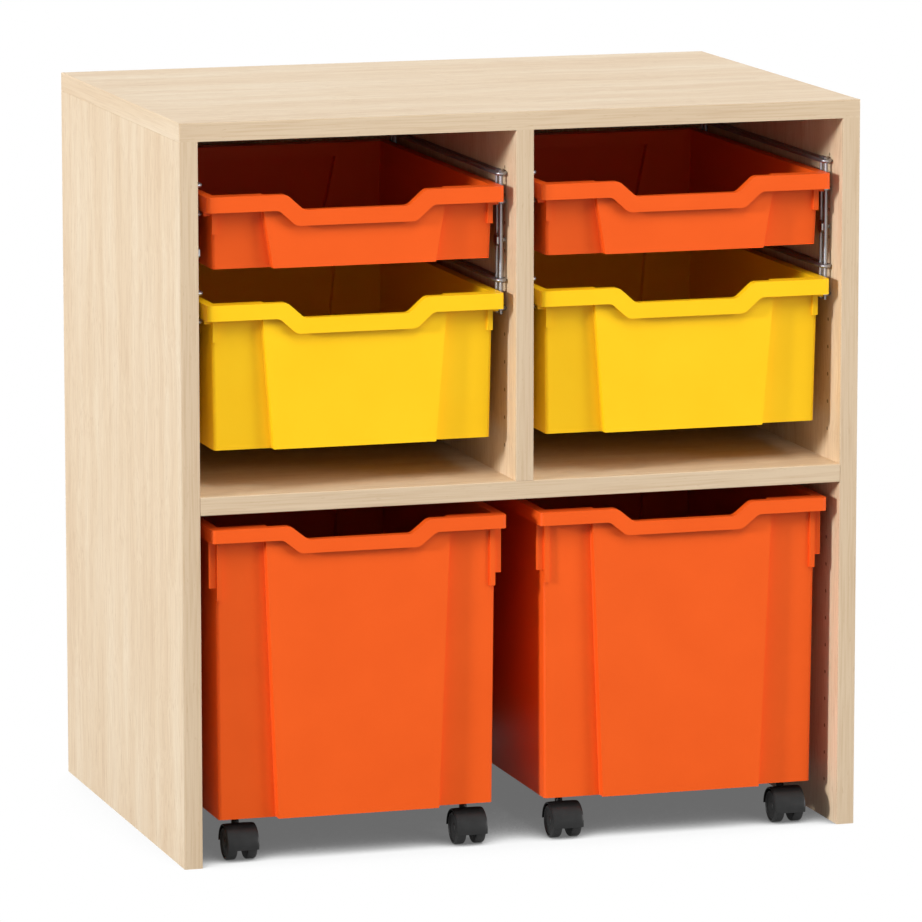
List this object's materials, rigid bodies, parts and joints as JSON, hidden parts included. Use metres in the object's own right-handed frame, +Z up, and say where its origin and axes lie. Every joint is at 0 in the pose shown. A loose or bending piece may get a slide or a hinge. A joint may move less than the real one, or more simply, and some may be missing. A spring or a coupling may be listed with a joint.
{
  "type": "tray storage unit with rolling bins",
  "caption": "Board cabinet whose moulded trays slide on wire runner frames above a fixed shelf, with large moulded bins on hooded castors that roll out from below.",
  "frame": {"origin": "middle of the footprint, on the floor", "axes": "+X to the right as seen from the open front, +Y to the back, +Z up"},
  "size_m": [0.723, 0.493, 0.761],
  "materials": {
    "maple_board": "satin melamine-faced board with a pale maple grain",
    "edge_lipping": "satin edge strip with a fine straight grain",
    "back_board": "satin faced thin board",
    "tongue_wood": "plain raw wood",
    "bright_wire": "bright plated wire",
    "plated_screw": "bright zinc plating",
    "orange_plastic": "soft gloss moulded plastic",
    "yellow_plastic": "soft gloss moulded plastic",
    "plated_stem": "zinc-plated steel",
    "castor_black": "satin black moulded plastic",
    "axle_steel": "plain drawn steel",
    "wheel_black": "satin black hard plastic"
  },
  "bodies": {
    "carcass": {"top_panel": "maple_board", "left_side_panel": "maple_board", "right_side_panel": "maple_board", "centre_divider": "maple_board", "fixed_shelf": "maple_board", "back_panel": "back_board", "edge_lippings": "edge_lipping", "joint_tongues": "tongue_wood", "left_bay_outer_runner_loops": "bright_wire", "left_bay_outer_runner_uprights": "bright_wire", "left_bay_inner_runner_loops": "bright_wire", "left_bay_inner_runner_uprights": "bright_wire", "right_bay_inner_runner_loops": "bright_wire", "right_bay_inner_runner_uprights": "bright_wire", "right_bay_outer_runner_loops": "bright_wire", "right_bay_outer_runner_uprights": "bright_wire", "runner_screws": "plated_screw"},
    "shallow_tray_left_body": {"shallow_tray_left": "orange_plastic"},
    "shallow_tray_right_body": {"shallow_tray_right": "orange_plastic"},
    "deep_tray_left_body": {"deep_tray_left": "yellow_plastic"},
    "deep_tray_right_body": {"deep_tray_right": "yellow_plastic"},
    "rolling_bin_left_body": {"rolling_bin_left": "orange_plastic", "left_bin_castor_stems": "plated_stem"},
    "left_bin_front_left_castor": {"left_bin_front_left_castor_hood": "castor_black", "left_bin_front_left_castor_axle": "axle_steel"},
    "left_bin_front_left_left_wheel_body": {"left_bin_front_left_left_wheel": "wheel_black"},
    "left_bin_front_left_right_wheel_body": {"left_bin_front_left_right_wheel": "wheel_black"},
    "left_bin_front_right_castor": {"left_bin_front_right_castor_hood": "castor_black", "left_bin_front_right_castor_axle": "axle_steel"},
    "left_bin_front_right_left_wheel_body": {"left_bin_front_right_left_wheel": "wheel_black"},
    "left_bin_front_right_right_wheel_body": {"left_bin_front_right_right_wheel": "wheel_black"},
    "left_bin_rear_left_castor": {"left_bin_rear_left_castor_hood": "castor_black", "left_bin_rear_left_castor_axle": "axle_steel"},
    "left_bin_rear_left_left_wheel_body": {"left_bin_rear_left_left_wheel": "wheel_black"},
    "left_bin_rear_left_right_wheel_body": {"left_bin_rear_left_right_wheel": "wheel_black"},
    "left_bin_rear_right_castor": {"left_bin_rear_right_castor_hood": "castor_black", "left_bin_rear_right_castor_axle": "axle_steel"},
    "left_bin_rear_right_left_wheel_body": {"left_bin_rear_right_left_wheel": "wheel_black"},
    "left_bin_rear_right_right_wheel_body": {"left_bin_rear_right_right_wheel": "wheel_black"},
    "rolling_bin_right_body": {"rolling_bin_right": "orange_plastic", "right_bin_castor_stems": "plated_stem"},
    "right_bin_front_left_castor": {"right_bin_front_left_castor_hood": "castor_black", "right_bin_front_left_castor_axle": "axle_steel"},
    "right_bin_front_left_left_wheel_body": {"right_bin_front_left_left_wheel": "wheel_black"},
    "right_bin_front_left_right_wheel_body": {"right_bin_front_left_right_wheel": "wheel_black"},
    "right_bin_front_right_castor": {"right_bin_front_right_castor_hood": "castor_black", "right_bin_front_right_castor_axle": "axle_steel"},
    "right_bin_front_right_left_wheel_body": {"right_bin_front_right_left_wheel": "wheel_black"},
    "right_bin_front_right_right_wheel_body": {"right_bin_front_right_right_wheel": "wheel_black"},
    "right_bin_rear_left_castor": {"right_bin_rear_left_castor_hood": "castor_black", "right_bin_rear_left_castor_axle": "axle_steel"},
    "right_bin_rear_left_left_wheel_body": {"right_bin_rear_left_left_wheel": "wheel_black"},
    "right_bin_rear_left_right_wheel_body": {"right_bin_rear_left_right_wheel": "wheel_black"},
    "right_bin_rear_right_castor": {"right_bin_rear_right_castor_hood": "castor_black", "right_bin_rear_right_castor_axle": "axle_steel"},
    "right_bin_rear_right_left_wheel_body": {"right_bin_rear_right_left_wheel": "wheel_black"},
    "right_bin_rear_right_right_wheel_body": {"right_bin_rear_right_right_wheel": "wheel_black"}
  },
  "joints": [
    {"name": "shallow_tray_left_slide", "type": "slide", "parent": "carcass", "child": "shallow_tray_left_body", "axis": [0, -1, 0], "range_m": [0, 0.3]},
    {"name": "shallow_tray_right_slide", "type": "slide", "parent": "carcass", "child": "shallow_tray_right_body", "axis": [0, -1, 0], "range_m": [0, 0.3]},
    {"name": "deep_tray_left_slide", "type": "slide", "parent": "carcass", "child": "deep_tray_left_body", "axis": [0, -1, 0], "range_m": [0, 0.3]},
    {"name": "deep_tray_right_slide", "type": "slide", "parent": "carcass", "child": "deep_tray_right_body", "axis": [0, -1, 0], "range_m": [0, 0.3]},
    {"name": "rolling_bin_left_roll_out", "type": "slide", "parent": "carcass", "child": "rolling_bin_left_body", "axis": [0, -1, 0], "range_m": [0, 0.6]},
    {"name": "left_bin_front_left_swivel", "type": "hinge", "parent": "rolling_bin_left_body", "child": "left_bin_front_left_castor", "pos_m": [-0.296, -0.1999, 0.03], "axis": [0, 0, 1], "continuous": true},
    {"name": "left_bin_front_left_left_wheel_spin", "type": "hinge", "parent": "left_bin_front_left_castor", "child": "left_bin_front_left_left_wheel_body", "pos_m": [-0.296, -0.2145, 0.017], "axis": [1, 0, 0], "continuous": true},
    {"name": "left_bin_front_left_right_wheel_spin", "type": "hinge", "parent": "left_bin_front_left_castor", "child": "left_bin_front_left_right_wheel_body", "pos_m": [-0.296, -0.2145, 0.017], "axis": [1, 0, 0], "continuous": true},
    {"name": "left_bin_front_right_swivel", "type": "hinge", "parent": "rolling_bin_left_body", "child": "left_bin_front_right_castor", "pos_m": [-0.052, -0.1999, 0.03], "axis": [0, 0, 1], "continuous": true},
    {"name": "left_bin_front_right_left_wheel_spin", "type": "hinge", "parent": "left_bin_front_right_castor", "child": "left_bin_front_right_left_wheel_body", "pos_m": [-0.052, -0.2145, 0.017], "axis": [1, 0, 0], "continuous": true},
    {"name": "left_bin_front_right_right_wheel_spin", "type": "hinge", "parent": "left_bin_front_right_castor", "child": "left_bin_front_right_right_wheel_body", "pos_m": [-0.052, -0.2145, 0.017], "axis": [1, 0, 0], "continuous": true},
    {"name": "left_bin_rear_left_swivel", "type": "hinge", "parent": "rolling_bin_left_body", "child": "left_bin_rear_left_castor", "pos_m": [-0.296, 0.1399, 0.03], "axis": [0, 0, 1], "continuous": true},
    {"name": "left_bin_rear_left_left_wheel_spin", "type": "hinge", "parent": "left_bin_rear_left_castor", "child": "left_bin_rear_left_left_wheel_body", "pos_m": [-0.296, 0.1253, 0.017], "axis": [1, 0, 0], "continuous": true},
    {"name": "left_bin_rear_left_right_wheel_spin", "type": "hinge", "parent": "left_bin_rear_left_castor", "child": "left_bin_rear_left_right_wheel_body", "pos_m": [-0.296, 0.1253, 0.017], "axis": [1, 0, 0], "continuous": true},
    {"name": "left_bin_rear_right_swivel", "type": "hinge", "parent": "rolling_bin_left_body", "child": "left_bin_rear_right_castor", "pos_m": [-0.052, 0.1399, 0.03], "axis": [0, 0, 1], "continuous": true},
    {"name": "left_bin_rear_right_left_wheel_spin", "type": "hinge", "parent": "left_bin_rear_right_castor", "child": "left_bin_rear_right_left_wheel_body", "pos_m": [-0.052, 0.1253, 0.017], "axis": [1, 0, 0], "continuous": true},
    {"name": "left_bin_rear_right_right_wheel_spin", "type": "hinge", "parent": "left_bin_rear_right_castor", "child": "left_bin_rear_right_right_wheel_body", "pos_m": [-0.052, 0.1253, 0.017], "axis": [1, 0, 0], "continuous": true},
    {"name": "rolling_bin_right_roll_out", "type": "slide", "parent": "carcass", "child": "rolling_bin_right_body", "axis": [0, -1, 0], "range_m": [0, 0.6]},
    {"name": "right_bin_front_left_swivel", "type": "hinge", "parent": "rolling_bin_right_body", "child": "right_bin_front_left_castor", "pos_m": [0.052, -0.1999, 0.03], "axis": [0, 0, 1], "continuous": true},
    {"name": "right_bin_front_left_left_wheel_spin", "type": "hinge", "parent": "right_bin_front_left_castor", "child": "right_bin_front_left_left_wheel_body", "pos_m": [0.052, -0.2145, 0.017], "axis": [1, 0, 0], "continuous": true},
    {"name": "right_bin_front_left_right_wheel_spin", "type": "hinge", "parent": "right_bin_front_left_castor", "child": "right_bin_front_left_right_wheel_body", "pos_m": [0.052, -0.2145, 0.017], "axis": [1, 0, 0], "continuous": true},
    {"name": "right_bin_front_right_swivel", "type": "hinge", "parent": "rolling_bin_right_body", "child": "right_bin_front_right_castor", "pos_m": [0.296, -0.1999, 0.03], "axis": [0, 0, 1], "continuous": true},
    {"name": "right_bin_front_right_left_wheel_spin", "type": "hinge", "parent": "right_bin_front_right_castor", "child": "right_bin_front_right_left_wheel_body", "pos_m": [0.296, -0.2145, 0.017], "axis": [1, 0, 0], "continuous": true},
    {"name": "right_bin_front_right_right_wheel_spin", "type": "hinge", "parent": "right_bin_front_right_castor", "child": "right_bin_front_right_right_wheel_body", "pos_m": [0.296, -0.2145, 0.017], "axis": [1, 0, 0], "continuous": true},
    {"name": "right_bin_rear_left_swivel", "type": "hinge", "parent": "rolling_bin_right_body", "child": "right_bin_rear_left_castor", "pos_m": [0.052, 0.1399, 0.03], "axis": [0, 0, 1], "continuous": true},
    {"name": "right_bin_rear_left_left_wheel_spin", "type": "hinge", "parent": "right_bin_rear_left_castor", "child": "right_bin_rear_left_left_wheel_body", "pos_m": [0.052, 0.1253, 0.017], "axis": [1, 0, 0], "continuous": true},
    {"name": "right_bin_rear_left_right_wheel_spin", "type": "hinge", "parent": "right_bin_rear_left_castor", "child": "right_bin_rear_left_right_wheel_body", "pos_m": [0.052, 0.1253, 0.017], "axis": [1, 0, 0], "continuous": true},
    {"name": "right_bin_rear_right_swivel", "type": "hinge", "parent": "rolling_bin_right_body", "child": "right_bin_rear_right_castor", "pos_m": [0.296, 0.1399, 0.03], "axis": [0, 0, 1], "continuous": true},
    {"name": "right_bin_rear_right_left_wheel_spin", "type": "hinge", "parent": "right_bin_rear_right_castor", "child": "right_bin_rear_right_left_wheel_body", "pos_m": [0.296, 0.1253, 0.017], "axis": [1, 0, 0], "continuous": true},
    {"name": "right_bin_rear_right_right_wheel_spin", "type": "hinge", "parent": "right_bin_rear_right_castor", "child": "right_bin_rear_right_right_wheel_body", "pos_m": [0.296, 0.1253, 0.017], "axis": [1, 0, 0], "continuous": true}
  ]
}
